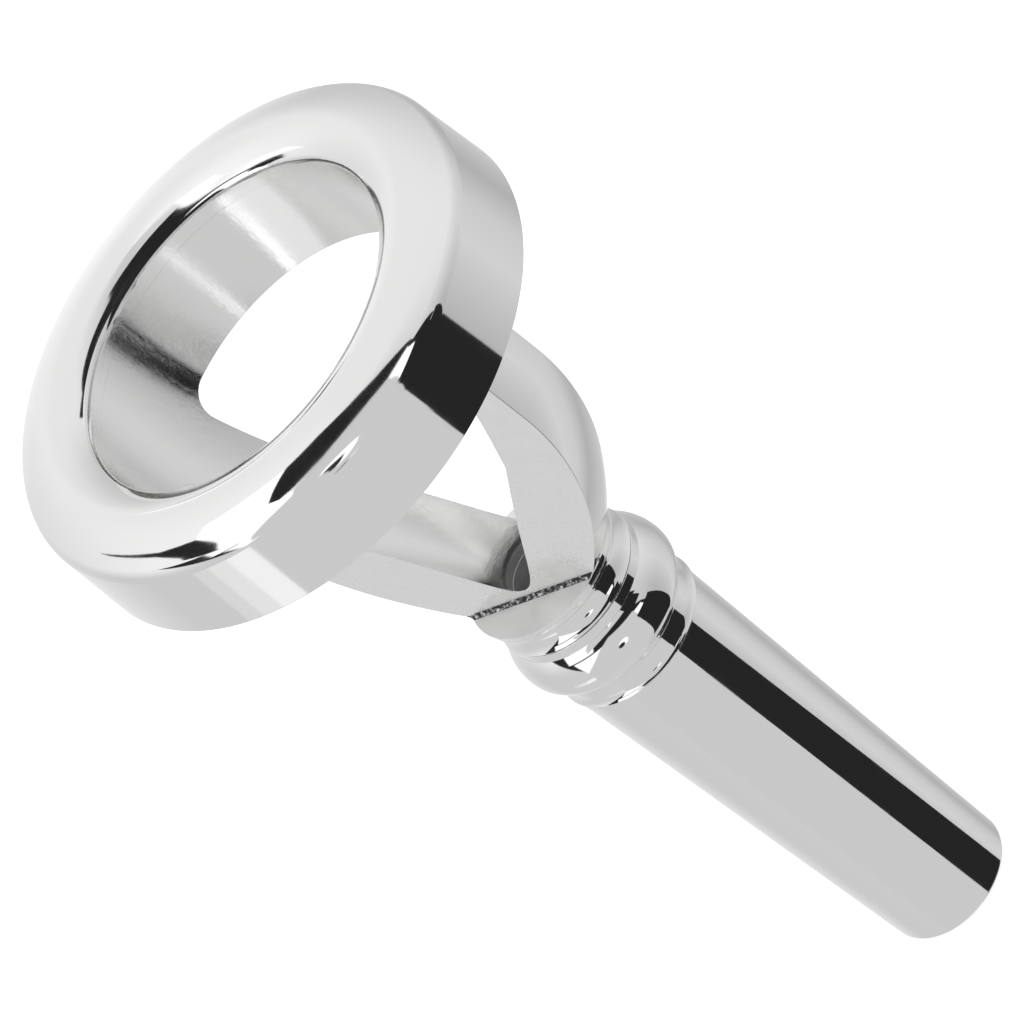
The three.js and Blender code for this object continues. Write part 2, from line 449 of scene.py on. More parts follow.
OUTER_WALL = Wall(
    [(SLEEVE_RADIUS, RIM_SEAT_DEPTH + HAIRLINE), (SLEEVE_RADIUS, SHOULDER_DEPTH)],
    [(SLEEVE_RADIUS, SHOULDER_DEPTH), SHOULDER_HANDLE, ARM_FOOT_HANDLE, (LEDGE_RADIUS, LEDGE_DEPTH)],
    [(LEDGE_RADIUS, LEDGE_DEPTH), LEDGE_BAND],
)
INNER_WALL = Wall(
    [(BORE_RADIUS, RIM_SEAT_DEPTH + HAIRLINE), BORE_HANDLE, BOWL_HANDLE, BOWL],
    [BOWL, FUNNEL_HANDLE, THROAT_HANDLE, (THROAT_RADIUS, THROAT_DEPTH)],
    [(THROAT_RADIUS, THROAT_DEPTH), (THROAT_RADIUS, SOCKET_FLOOR_DEPTH)],
)


def crossing_height():
    """Height at which the inner wall is as narrow as the arm is wide, so that the windows join."""
    low, high = LENGTH - THROAT_DEPTH, LENGTH - BOWL[1]
    for _ in range(BISECTIONS):
        middle = (low + high) / 2
        if INNER_WALL.at(middle)[0] > ARM_HALF_WIDTH:
            high = middle
        else:
            low = middle
    return high


class CutRow:
    """One row across the milled surface, from the outer wall to the inner wall, in one quarter.

    face_normal is (sideways, up). aim_out and aim_in give the angle about the bore of the row's ends,
    from the wall's radius and from how far the edge is trimmed. With narrowing, the inner edge break
    shrinks to nothing where the two windows meet."""

    def __init__(self, height, face_normal, aim_out, aim_in, look, narrowing=True):
        ny, nz = face_normal
        self.look = look
        self.normal = np.array((0.0, ny, nz))
        r_out, _ = OUTER_WALL.at(height)
        r_in, _ = INNER_WALL.at(height)
        out_corner, _ = around(r_out, height, (1, 0), aim_out(r_out, 0))
        open_inside = aim_in(r_in, 0) is not None
        if open_inside:
            in_corner, _ = around(r_in, height, (1, 0), aim_in(r_in, 0))
        else:
            in_corner = np.array((0.0, out_corner[1], height))
        across = in_corner - out_corner
        width = np.linalg.norm(across)
        trim = min(EDGE_BREAK, CUT_TRIM_SHARE * width)
        trim_in = min(trim, CUT_TRIM_SHARE * in_corner[0]) if narrowing else trim
        step = across / width if width > NO_WIDTH else across
        start = out_corner + step * trim
        stop = in_corner - step * (trim_in if open_inside else 0)
        shares = np.linspace(0, 1, CUT_STEPS + 1)
        self.face = [(start + (stop - start) * t, self.normal) for t in shares]
        self.outer = wall_corner(OUTER_WALL, height - trim * nz, aim_out, trim, 1)
        self.outer_edge = edge(self.outer, out_corner, self.face[0])
        if open_inside:
            self.inner = wall_corner(INNER_WALL, height - trim_in * nz, aim_in, trim_in, -1)
            self.inner_edge = edge(self.face[-1], in_corner, self.inner)
        else:
            self.inner = wall_corner(INNER_WALL, height, lambda r, t: math.pi / 2, 0, -1)
            self.inner_edge = None


def wall_corner(wall, height, aim, trim, facing):
    """The corner where a row meets a wall. facing is 1 for the outer wall and -1 for the inner one."""
    radius, normal = wall.at(height)
    return around(radius, height, normal * facing, aim(radius, trim))


def edge(first, corner, last):
    """Corners of a small round between two trimmed faces that met at a sharp corner."""
    points = [first[0], corner, last[0]]
    result = []
    for t in np.linspace(0, 1, BREAK_STEPS + 1):
        normal = first[1] + (last[1] - first[1]) * t
        result.append((bezier(points, t), normal / np.linalg.norm(normal)))
    return result


def side_row(y, height, face_normal, look):
    """A row where the cutter ran along the bore, a fixed distance y to the side."""
    ny = face_normal[0]

    def aim_out(radius, trim):
        return math.asin(min(1.0, (y - trim * ny) / radius))

    def aim_in(radius, trim):
        return aim_out(radius, trim) if radius >= y - SLACK else None

    return CutRow(height, face_normal, aim_out, aim_in, look)


def top_row(share):
    """A row of the window's flat top edge, from its corner (share 0) to its middle (share 1)."""
    height = LENGTH - WINDOW_TOP_DEPTH
    corner_y = ARM_HALF_WIDTH + WINDOW_TOP_ROUND

    def aim(wall):
        first = math.asin(corner_y / wall.at(height)[0])
        return lambda radius, trim: first + (math.pi / 2 - first) * share

    return CutRow(height, (0, -1), aim(OUTER_WALL), aim(INNER_WALL), MILLED, narrowing=False)


def ledge_rows():
    """Rows of the flat ledge, from its outer rim in to the root of the arms."""
    height = LENGTH - LEDGE_DEPTH
    root_y = ARM_HALF_WIDTH + WINDOW_ROOT_ROUND
    angles = np.linspace(math.pi / 2, math.asin(root_y / LEDGE_RADIUS), LEDGE_STEPS + 1)
    return [side_row(LEDGE_RADIUS * math.sin(a), height, (0, 1), LEDGE) for a in angles]


def side_rows():
    """Rows up one side of an arm: the round at its root, the flat, and the round at the window's top."""
    ledge, top = LENGTH - LEDGE_DEPTH, LENGTH - WINDOW_TOP_DEPTH
    rows = []
    for a in np.linspace(0, math.pi / 2, ROOT_STEPS + 1):
        y = ARM_HALF_WIDTH + WINDOW_ROOT_ROUND * (1 - math.sin(a))
        height = ledge + WINDOW_ROOT_ROUND * (1 - math.cos(a))
        rows.append(side_row(y, height, (math.sin(a), math.cos(a)), MILLED))
    crossing, round_foot = crossing_height(), top - WINDOW_TOP_ROUND
    heights = [*np.linspace(ledge + WINDOW_ROOT_ROUND, crossing, BELOW_CROSSING_STEPS)[1:-1]]
    # Rows lie closest together just above the crossing, where the cut faces narrow to a point.
    heights += [*(crossing + (round_foot - crossing) * np.linspace(0, 1, SIDE_STEPS) ** 2)]
    heights += [LENGTH - BOWL[1] - HAIRLINE, LENGTH - BOWL[1] + HAIRLINE]
    for height in sorted(heights):
        rows.append(side_row(ARM_HALF_WIDTH, height, (1, 0), MILLED))
    for a in np.linspace(0, math.pi / 2, CORNER_STEPS + 1)[1:]:
        y = ARM_HALF_WIDTH + WINDOW_TOP_ROUND * (1 - math.cos(a))
        height = round_foot + WINDOW_TOP_ROUND * math.sin(a)
        rows.append(side_row(y, height, (math.cos(a), -math.sin(a)), MILLED))
    return rows


def angle_of(corner):
    """Angle about the bore of a (point, normal) corner."""
    return math.atan2(corner[0][1], corner[0][0])


def fan(corner, wall, facing):
    """Corners from angle 0 to the given one along a wall, at its height."""
    radius, normal = wall.at(corner[0][2])
    angles = np.linspace(0, angle_of(corner), ARM_STEPS + 1)
    return [around(radius, corner[0][2], normal * facing, a) for a in angles]


def zip_rings(skin, inside, outside, look):
    """Joins two rings of corners that have different numbers of points, in one quarter."""
    i = j = 0
    while i < len(inside) - 1 or j < len(outside) - 1:
        take_inside = j == len(outside) - 1
        if i < len(inside) - 1 and not take_inside:
            take_inside = angle_of(inside[i + 1]) <= angle_of(outside[j + 1])
        if take_inside:
            skin.patch([inside[i], inside[i + 1], outside[j]], look, True)
            i += 1
        else:
            skin.patch([inside[i], outside[j + 1], outside[j]], look, True)
            j += 1


def neck_outline(start_radius):
    """Outside of the cage below its ledge, drawn upwards from the socket that takes the shank's spigot."""
    lip = start_radius + (LEDGE_BAND[0] - start_radius) / 2
    outline = Outline(SOCKET_RADIUS, SOCKET_FLOOR_DEPTH)
    outline.line(SOCKET_RADIUS, CAGE_END_DEPTH)
    outline.line(CAGE_END_RADIUS, CAGE_END_DEPTH)
    outline.curve(COVE_HANDLE, WAIST, steps=36)
    outline.curve(WAIST_TOP_HANDLE, LEDGE_BAND)
    outline.line(lip, LEDGE_LIP_DEPTH + NECK_GROOVE)
    outline.curve((lip - NECK_GROOVE, LEDGE_LIP_DEPTH), (lip, LEDGE_LIP_DEPTH - NECK_GROOVE), steps=6)
    outline.line(start_radius, LEDGE_DEPTH + EDGE_BREAK)
    return outline


def cup_cage():
    """The sleeve, the two arms, the funnel and the neck under the ledge."""
    skin = Skin()
    ledge, sides = ledge_rows(), side_rows()
    tops = [top_row(share) for share in np.linspace(0, 1, TOP_STEPS + 1)]
    roots = sides[:ROOT_STEPS + 1]
    skin.grid([row.face for row in roots], ROOT, True)
    for rows in (ledge, sides[ROOT_STEPS:], tops):
        skin.grid([row.face for row in rows], rows[-1].look, True)
    for rows in (ledge, sides, tops):
        skin.grid([row.outer_edge for row in rows], rows[-1].look, True)
        inner_edges = [row.inner_edge for row in rows if row.inner_edge]
        skin.grid(inner_edges, rows[-1].look, True)
    skin.grid([fan(row.outer, OUTER_WALL, 1) for row in sides], OUTSIDE, True)
    skin.grid([fan(row.inner, INNER_WALL, -1) for row in sides], BORE, True)

    # Neck under the ledge, with its socket and the foot of the throat.
    band_angles = [angle_of(c) for c in fan(sides[0].outer, OUTER_WALL, 1)]
    band_angles += [angle_of(row.outer) for row in ledge[::-1]][1:]
    start_radius, _ = OUTER_WALL.at(LENGTH - LEDGE_DEPTH - EDGE_BREAK)
    spin(skin, neck_outline(start_radius).softened(closed=False), band_angles, True)
    throat_angles = np.linspace(0, math.pi / 2, ARM_STEPS + 1)
    floor = LENGTH - SOCKET_FLOOR_DEPTH
    throat = []
    for height in (LENGTH - LEDGE_DEPTH, floor):
        throat.append([around(THROAT_RADIUS, height, (-1, 0), a) for a in throat_angles])
    skin.grid(throat, THROAT, True)
    hole = [around(THROAT_RADIUS, floor, (0, -1), a) for a in throat_angles]
    socket = [around(SOCKET_RADIUS, floor, (0, -1), a) for a in band_angles]
    zip_rings(skin, hole, socket, THROAT)

    # Sleeve above the windows, outside and inside.
    outer_angles = [angle_of(c) for c in fan(sides[-1].outer, OUTER_WALL, 1)]
    outer_angles += [angle_of(row.outer) for row in tops][1:]
    inner_angles = [angle_of(c) for c in fan(sides[-1].inner, INNER_WALL, -1)]
    inner_angles += [angle_of(row.inner) for row in tops][1:]
    top = LENGTH - RIM_SEAT_DEPTH - HAIRLINE
    foot = tops[0].outer[0][2]
    outside = [[around(SLEEVE_RADIUS, h, (1, 0), a) for a in outer_angles] for h in (foot, top)]
    skin.grid(outside, OUTSIDE, True)
    inside = []
    for height in np.linspace(tops[0].inner[0][2], top - FINE_GAP, SLEEVE_STEPS + 1):
        radius, normal = INNER_WALL.at(height)
        inside.append([around(radius, height, -normal, a) for a in inner_angles])
    skin.grid(inside, BORE, True)
    seat_out = [around(SLEEVE_RADIUS, top, (0, 1), a) for a in outer_angles]
    seat_in = [around(BORE_RADIUS + FINE_GAP, top, (0, 1), a) for a in inner_angles]
    skin.grid([seat_out, seat_in], OUTSIDE, True)
    lip = []
    for low, high, a in zip(inside[-1], seat_in, inner_angles):
        corner, _ = around(BORE_RADIUS, top, (0, 1), a)
        lip.append(edge(low, corner, high))
    skin.grid(lip, BORE, True)
    return skin.build("cup_cage_finished", [plate, satin, milled, matte, root, throat_bore])


# ---- materials ----------------------------------------------------------------------------------
class Graph:
    """Short calls to add nodes to a node tree."""

    def __init__(self, tree):
        self.nodes = tree.nodes
        self.links = tree.links

    def math(self, operation, a, b=None):
        node = self.nodes.new("ShaderNodeMath")
        node.operation = operation
        for socket, value in zip(node.inputs, (a, b)):
            if isinstance(value, (int, float)):
                socket.default_value = value
            elif value is not None:
                self.links.new(value, socket)
        return node.outputs[0]

    def product(self, first, *rest):
        """All the values multiplied together."""
        for value in rest:
            first = self.math("MULTIPLY", first, value)
        return first

    def blend(self, share, first, second):
        """first where share is 0, second where it is 1."""
        gap = self.math("SUBTRACT", second, first)
        return self.math("ADD", first, self.math("MULTIPLY", gap, share))

    def length_of(self, x, y):
        squares = self.math("ADD", self.math("MULTIPLY", x, x), self.math("MULTIPLY", y, y))
        return self.math("SQRT", squares)

    def split(self, vector):
        node = self.nodes.new("ShaderNodeSeparateXYZ")
        self.links.new(vector, node.inputs[0])
        return node.outputs

    def ramp(self, value, low, high, from_low=0.0, from_high=1.0, kind="LINEAR"):
        node = self.nodes.new("ShaderNodeMapRange")
        node.interpolation_type = kind
        self.links.new(value, node.inputs["Value"])
        for name, number in zip(("From Min", "From Max", "To Min", "To Max"),
                                (from_low, from_high, low, high)):
            node.inputs[name].default_value = number
        return node.outputs[0]

    def step(self, value, edge, soft, rising=True):
        """A soft step at edge: 0 to 1, or 1 to 0 when not rising."""
        ends = (0, 1) if rising else (1, 0)
        return self.ramp(value, *ends, edge - soft, edge + soft, "SMOOTHSTEP")


SILVER = (0.905, 0.905, 0.9)


class Look(Graph):
    """A silver-plate material. Noise scales are in features per metre."""

    def __init__(self, name, roughness):
        self.material = bpy.data.materials.new(name)
        self.material.use_nodes = True
        super().__init__(self.material.node_tree)
        self.shader = self.nodes["Principled BSDF"]
        self.shader.inputs["Metallic"].default_value = 1.0
        self.shader.inputs["Base Color"].default_value = (*SILVER, 1)
        self.shader.inputs["Roughness"].default_value = roughness
        self.place = self.nodes.new("ShaderNodeTexCoord").outputs["Object"]

    def scaled(self, source, scale):
        node = self.nodes.new("ShaderNodeVectorMath")
        node.operation = "MULTIPLY"
        self.links.new(source, node.inputs[0])
        node.inputs[1].default_value = scale
        return node.outputs[0]

    def round_the_bore(self):
        """Coordinates (angle in radians, radius, height) about the bore."""
        x, y, z = self.split(self.place)
        joined = self.nodes.new("ShaderNodeCombineXYZ")
        radius = self.length_of(x, y)
        self.links.new(self.math("ARCTAN2", y, x), joined.inputs[0])
        self.links.new(radius, joined.inputs[1])
        self.links.new(z, joined.inputs[2])
        return joined.outputs[0]

    def noise(self, source, scale, detail=2.0, rough=0.5):
        node = self.nodes.new("ShaderNodeTexNoise")
        self.links.new(source, node.inputs["Vector"])
        node.inputs["Scale"].default_value = scale
        node.inputs["Detail"].default_value = detail
        node.inputs["Roughness"].default_value = rough
        return node.outputs["Fac"]

    def roughness(self, pattern, low, high, noise_high=0.7):
        """Roughness from low, where the pattern is weak, to high, where it is strong."""
        value = self.ramp(pattern, low, high, NOISE_LOW, noise_high)
        self.links.new(value, self.shader.inputs["Roughness"])

    def bump(self, height, distance):
        """Adds relief of a real height, in metres, over any relief added before."""
        node = self.nodes.new("ShaderNodeBump")
        node.inputs["Distance"].default_value = distance
        self.links.new(height, node.inputs["Height"])
        normal = self.shader.inputs["Normal"]
        if normal.is_linked:
            self.links.new(normal.links[0].from_socket, node.inputs["Normal"])
        self.links.new(node.outputs["Normal"], normal)


# Noise below this value is taken as its lowest.
NOISE_LOW = 0.3


def mirror_plate():
    """Polished turned surface with faint smudges and a slight waviness."""
    look = Look("mirror_plate", 0.04)
    look.roughness(look.noise(look.place, 180, detail=3), 0.02, 0.09, noise_high=0.8)
    look.bump(look.noise(look.place, 260, detail=1), 7e-6)
    look.bump(look.noise(look.place, 1800, detail=2), 4e-7)
    return look.material


def satin_plate():
    """Turned surface: fine rings round the bore, each broken into short marks, and a fine grain."""
    look = Look("satin_bore", 0.12)
    rings_per = (14, 2500, 7000)
    rings = look.noise(look.scaled(look.round_the_bore(), rings_per), 1.0, detail=4, rough=0.7)
    look.roughness(look.noise(look.place, 400, detail=3), 0.08, 0.16)
    look.bump(rings, 1.6e-5)
    look.bump(look.noise(look.place, 2400, detail=3, rough=0.8), 2e-5)
    look.bump(look.noise(look.place, 500, detail=2), 9e-6)
    return look.material


def milled_plate():
    """Milled face under plate: faint cloudy patches and a fine grain."""
    look = Look("milled_faces", 0.3)
    look.roughness(look.noise(look.place, 700, detail=3), 0.18, 0.36)
    look.bump(look.noise(look.place, 450, detail=2), 1.2e-5)
    look.bump(look.noise(look.place, 4500, detail=3), 6e-6)
    return look.material


def matte_plate():
    """Ledge where the cutter stopped: duller than the milled faces."""
    look = Look("milled_ledge", 0.4)
    look.roughness(look.noise(look.place, 900, detail=3), 0.3, 0.5)
    look.bump(look.noise(look.place, 3500, detail=4), 1e-5)
    return look.material


def root_painted_reflection():
    """Narrow round at the root of the arms: a patchy painted dark reflection in its base colour, with
    small bright burrs.
    """
    look = Look("milled_root_painted_dark", 0.3)
    burrs_and_painted_dark = look.noise(look.place, 2600, detail=3, rough=0.7)
    # Base colour runs from near black to silver. The dark patches are a painted reflection of dark
    # surroundings, and the same noise gives the burrs their real relief.
    painted_dark_reflection = look.ramp(burrs_and_painted_dark, 0.06, 0.9, 0.5, 0.66)
    joined = look.nodes.new("ShaderNodeCombineColor")
    for channel in joined.inputs:
        look.links.new(painted_dark_reflection, channel)
    look.links.new(joined.outputs[0], look.shader.inputs["Base Color"])
    look.bump(burrs_and_painted_dark, 2e-5)
    return look.material


def throat_plate():
    """Drilled throat: a dull surface with coarse turning rings."""
    look = Look("turned_throat", 0.5)
    rings_per = (3, 600, 3200)
    rings = look.noise(look.scaled(look.round_the_bore(), rings_per), 1.0, detail=3, rough=0.6)
    look.roughness(rings, 0.42, 0.6)
    look.bump(rings, 4e-5)
    return look.material


plate = mirror_plate()
satin = satin_plate()
milled = milled_plate()
matte = matte_plate()
# Root round: patches of painted dark reflection in its base colour.
root = root_painted_reflection()
throat_bore = throat_plate()


# ---- studio -------------------------------------------------------------------------------------
CAMERA_AIM = (0.00110, 0.00117, 0.05142)
CAMERA_AZIMUTH = math.radians(-43.296)
CAMERA_ELEVATION = math.radians(36.224)
CAMERA_DISTANCE = 0.582
CAMERA_ROLL = math.radians(52.208)
CAMERA_LENS = 294.11
CAMERA_CLIP = (0.05, 20)


def direction(azimuth, elevation):
    """Unit vector from an azimuth (anticlockwise from +X) and an elevation."""
    flat = math.cos(elevation)
    return Vector((flat * math.cos(azimuth), flat * math.sin(azimuth), math.sin(elevation)))


def make_camera():
    data = bpy.data.cameras.new("camera")
    data.lens = CAMERA_LENS
    data.clip_start, data.clip_end = CAMERA_CLIP
    camera = bpy.data.objects.new("camera", data)
    bpy.context.scene.collection.objects.link(camera)
    back = direction(CAMERA_AZIMUTH, CAMERA_ELEVATION)
    level = Vector((0, 0, 1)) - back * back.z
    level.normalize()
    side = level.cross(back)
    up = level * math.cos(CAMERA_ROLL) + side * math.sin(CAMERA_ROLL)
    right = up.cross(back)
    turn = Matrix((right, up, back)).transposed().to_4x4()
    camera.matrix_world = Matrix.Translation(Vector(CAMERA_AIM) + back * CAMERA_DISTANCE) @ turn
    bpy.context.scene.camera = camera


def glow(name, brightness, one_sided):
    """A material of one even brightness, nearly black for a card that takes light away."""
    material = bpy.data.materials.new(name)
    material.use_nodes = True
    nodes = material.node_tree.nodes
    nodes.clear()
    emission = nodes.new("ShaderNodeEmission")
    emission.inputs["Color"].default_value = (brightness, brightness, brightness, 1)
    output = nodes.new("ShaderNodeOutputMaterial")
    links = material.node_tree.links
    if not one_sided:
        links.new(emission.outputs[0], output.inputs["Surface"])
        return material
    mix = nodes.new("ShaderNodeMixShader")
    links.new(nodes.new("ShaderNodeNewGeometry").outputs["Backfacing"], mix.inputs["Fac"])
    links.new(emission.outputs[0], mix.inputs[1])
    links.new(nodes.new("ShaderNodeBsdfTransparent").outputs[0], mix.inputs[2])
    links.new(mix.outputs[0], output.inputs["Surface"])
    return material


def card(name, reach, heights, turns, brightness, steps=24):
    """A card bent round the bore axis.

    reach is its distance from the axis, heights are its lower and upper edge, and turns gives, for
    each of those edges, its first and last azimuth counted from the camera's, in degrees."""
    points = []
    for height, ends in zip(heights, turns):
        for turn in np.linspace(*ends, steps):
            azimuth = CAMERA_AZIMUTH + math.radians(turn)
            points.append((reach * math.cos(azimuth), reach * math.sin(azimuth), height))
    faces = [(i, i + 1, steps + i + 1, steps + i) for i in range(steps - 1)]
    add_card(name, points, faces, brightness)


def place(towards, left, height):
    """A point given in millimetres towards the camera and to its left, at a height in metres."""
    forward, sideways = direction(CAMERA_AZIMUTH, 0), direction(CAMERA_AZIMUTH + math.pi / 2, 0)
    return (forward * towards + sideways * left) * MM + Vector((0, 0, height))


def half_oval(centre, reach, steps=12):
    """Corners of half an oval, on the side that the first reach points to."""
    turns = [math.pi * (i / steps - 0.5) for i in range(steps + 1)]
    return [(centre[0] + reach[0] * math.cos(t), centre[1] + reach[1] * math.sin(t)) for t in turns]


def overhead_card(name, height, corners, brightness):
    """A level card. Its corners are in millimetres, (towards the camera, to its left)."""
    points = [place(*corner, height) for corner in corners]
    add_card(name, points, [tuple(range(len(points)))], brightness)


def upright_card(name, first, last, heights, brightness):
    """An upright card between two corners, the left one first. It is clear from the camera's side."""
    low, high = heights
    points = [place(*first, low), place(*last, low), place(*last, high), place(*first, high)]
    add_card(name, points, [(0, 1, 2, 3)], brightness, one_sided=True)


def upright_oval(name, top, reach, heights, brightness):
    """Half an oval that hangs from the middle of its top edge, square to the camera's azimuth."""
    low, high = heights
    corners = half_oval((high, top[1]), (low - high, reach))
    points = [place(top[0], left, height) for height, left in corners]
    add_card(name, points, [tuple(range(len(points)))], brightness)


def add_card(name, points, faces, brightness, one_sided=False):
    """Puts a card on the stage, seen only in reflections."""
    mesh = bpy.data.meshes.new(name)
    mesh.from_pydata(points, [], faces)
    mesh.materials.append(glow(name, brightness, one_sided))
    panel = bpy.data.objects.new(name, mesh)
    bpy.context.scene.collection.objects.link(panel)
    panel.visible_camera = False
    panel.visible_diffuse = False
    panel.visible_shadow = False
    panel.visible_transmission = False


FLOOR_REACH = 3.0
FLOOR_HEIGHT = -0.0002
FLOOR_COLOUR = (0.92, 0.92, 0.92, 1)
FLOOR_GLOW = 0.6


def make_floor():
    """A plain pale floor, clear from below and left out of reflections."""
    ends = (-FLOOR_REACH, FLOOR_REACH)
    mesh = bpy.data.meshes.new("floor")
    mesh.from_pydata([(x, y, 0) for x in ends for y in ends], [], [(0, 2, 3, 1)])
    material = bpy.data.materials.new("pale_floor")
    material.use_nodes = True
    nodes, links = material.node_tree.nodes, material.node_tree.links
    shader = nodes["Principled BSDF"]
    shader.inputs["Base Color"].default_value = FLOOR_COLOUR
    shader.inputs["Roughness"].default_value = 0.9
    shader.inputs["Specular IOR Level"].default_value = 0.0
    shader.inputs["Emission Color"].default_value = (1, 1, 1, 1)
    shader.inputs["Emission Strength"].default_value = FLOOR_GLOW
    clear = nodes.new("ShaderNodeBsdfTransparent")
    mix = nodes.new("ShaderNodeMixShader")
    side = nodes.new("ShaderNodeNewGeometry")
    links.new(side.outputs["Backfacing"], mix.inputs["Fac"])
    links.new(shader.outputs[0], mix.inputs[1])
    links.new(clear.outputs[0], mix.inputs[2])
    links.new(mix.outputs[0], nodes["Material Output"].inputs["Surface"])
    mesh.materials.append(material)
    floor = bpy.data.objects.new("floor", mesh)
    floor.location.z = FLOOR_HEIGHT
    bpy.context.scene.collection.objects.link(floor)
    floor.visible_glossy = False


# The light tent: its brightness at azimuths counted from the camera's, low down and high up, and
# the elevation about which the one turns into the other.
TENT_LOW = ((-180, 1.0), (-160, 0.8), (-120, 0.64), (-60, 0.66), (0, 0.64), (56, 0.5), (90, 0.7),
            (110, 0.65), (133, 0.47), (165, 0.62), (180, 1.0))
TENT_HIGH = ((-180, 0.87), (-100, 1.0), (-60, 0.7), (0, 0.64), (60, 0.65), (110, 0.86), (180, 0.87))
TENT_TURNOVER, TENT_BLEND = 18, 28
BLACK, GREY, WHITE = 0.02, 0.64, 1.15
# Panels in front of the tent, from back to front. A place in the tent is given by the direction, as
# azimuth counted from the camera's and elevation, of the facet that mirrors it to the camera.
PANELS = (
    (((-50, 0.6), (-50, 4), (-34.5, 5), (-34.5, 0.6)), 0.74),
    (((-46, 0.6), (-46, 4), (-34.5, 5), (-34.5, 0.6)), 0.84),
    (((-41, 0.6), (-41, 4), (-34.5, 5), (-34.5, 0.6)), 0.97),
    (((-58, 50), (-33, 13), (12, 33), (9, 41), (0, 50)), BLACK),
    (((9, 41), (20, 29), (27.5, 12), (29, 8), (11.4, 8)), BLACK),
    (((-45, 50), (-43, 33.5), (-24, 33.5), (-19, 50)), WHITE),
    (((-40, 32), (-35, 13), (-20, 13), (-13, 32)), WHITE),
    (((11.4, 30), (18.5, 28), (20, 20), (17, 16), (11.4, 15)), WHITE),
    (((-20, 30.7), (-11, 35.5), (11.4, 31.5), (11.4, -8), (-34.5, -8), (-34.5, 14)), GREY),
)
PANEL_SOFTNESS = 0.5
# The lamp and the dark spot in front of it, placed in the same way, and their radii.
LAMP = (-6.5, 16.7)
LAMP_SIZE = 3.6
LAMP_SHADE = (-8.6, 15.4)
LAMP_SHADE_SIZE = 2.4


def tent_level(graph, turn, stops):
    """Brightness of the tent all the way round at one height."""
    node = graph.nodes.new("ShaderNodeValToRGB")
    graph.links.new(graph.ramp(turn, 0, 1, -180, 180), node.inputs[0])
    elements = node.color_ramp.elements
    while len(elements) < len(stops):
        elements.new(0.5)
    for element, (degrees, level) in zip(elements, stops):
        element.position = (degrees + 180) / 360
        element.color = (level, level, level, 1)
    return node.outputs[0]


def panel_share(graph, turn, lift, corners):
    """1 inside a panel with these corners and no hollow in its outline, 0 outside it."""
    ends = list(zip(corners, corners[1:] + corners[:1]))
    area = sum(x0 * y1 - x1 * y0 for (x0, y0), (x1, y1) in ends)
    shares = []
    for (x0, y0), (x1, y1) in ends:
        run = math.copysign(math.hypot(x1 - x0, y1 - y0), area)
        inward = ((y0 - y1) / run, (x1 - x0) / run)
        total = graph.math("ADD", graph.product(turn, inward[0]), graph.product(lift, inward[1]))
        shares.append(graph.step(total, x0 * inward[0] + y0 * inward[1], PANEL_SOFTNESS))
    return graph.product(*shares)


def round_share(graph, turn, lift, centre, size):
    """1 inside a round patch, 0 outside it."""
    x, y = graph.math("SUBTRACT", turn, centre[0]), graph.math("SUBTRACT", lift, centre[1])
    return graph.step(graph.length_of(x, y), size, PANEL_SOFTNESS, rising=False)


def azimuth_of(graph, left, towards):
    """Angle in degrees whose tangent is left over towards."""
    return graph.product(graph.math("ARCTAN2", left, towards), math.degrees(1))


def make_world():
    """A white light tent whose brightness changes gently with direction. The camera sees it white."""
    world = bpy.data.worlds.new("tent")
    world.use_nodes = True
    world.cycles.sampling_method = "NONE"
    bpy.context.scene.world = world
    graph = Graph(world.node_tree)
    x, y, z = graph.split(graph.nodes.new("ShaderNodeTexCoord").outputs["Generated"])
    c, s = math.cos(CAMERA_AZIMUTH), math.sin(CAMERA_AZIMUTH)
    towards = graph.math("ADD", graph.product(x, c), graph.product(y, s))
    left = graph.math("SUBTRACT", graph.product(y, c), graph.product(x, s))
    turn = azimuth_of(graph, left, towards)
    lift = graph.product(graph.math("ARCSINE", z), math.degrees(1))
    level = graph.blend(graph.step(lift, TENT_TURNOVER, TENT_BLEND), tent_level(graph, turn, TENT_LOW),
                        tent_level(graph, turn, TENT_HIGH))

    # Direction of the facet that mirrors this part of the tent to the camera.
    towards = graph.math("ADD", towards, math.cos(CAMERA_ELEVATION))
    z = graph.math("ADD", z, math.sin(CAMERA_ELEVATION))
    turn = azimuth_of(graph, left, towards)
    lift = azimuth_of(graph, z, graph.length_of(towards, left))
    for corners, brightness in PANELS:
        level = graph.blend(panel_share(graph, turn, lift, corners), level, brightness)
    level = graph.blend(round_share(graph, turn, lift, LAMP, LAMP_SIZE), level, WHITE)
    level = graph.blend(round_share(graph, turn, lift, LAMP_SHADE, LAMP_SHADE_SIZE), level, BLACK)
    seen = graph.nodes.new("ShaderNodeLightPath").outputs["Is Camera Ray"]
    level = graph.blend(seen, level, 1.0)
    background = graph.nodes["Background"]
    graph.links.new(level, background.inputs["Color"])


# ---- stage --------------------------------------------------------------------------------------
make_camera()
make_floor()
make_world()
bpy.context.scene.view_settings.view_transform = "Standard"

# Dark screens that stand round the object, seen in the shank and in the rim's band.
card("dark_screen_low", 0.06, (-0.10, 0.052), ((23, 95), (17.5, 45)), BLACK)
card("dark_screen_rim", 0.035, (0.058, 0.086), ((15.5, 40.5), (15.5, 40.5)), BLACK)

# Level cards just above the rim, seen in its rounded shoulder: a grey panel with a dark arch behind
# it and beside it, white cards in the gaps, and the lamp. The named corners are where cards meet.
CARD_HEIGHT = 0.11
CARD_FRONT = 60
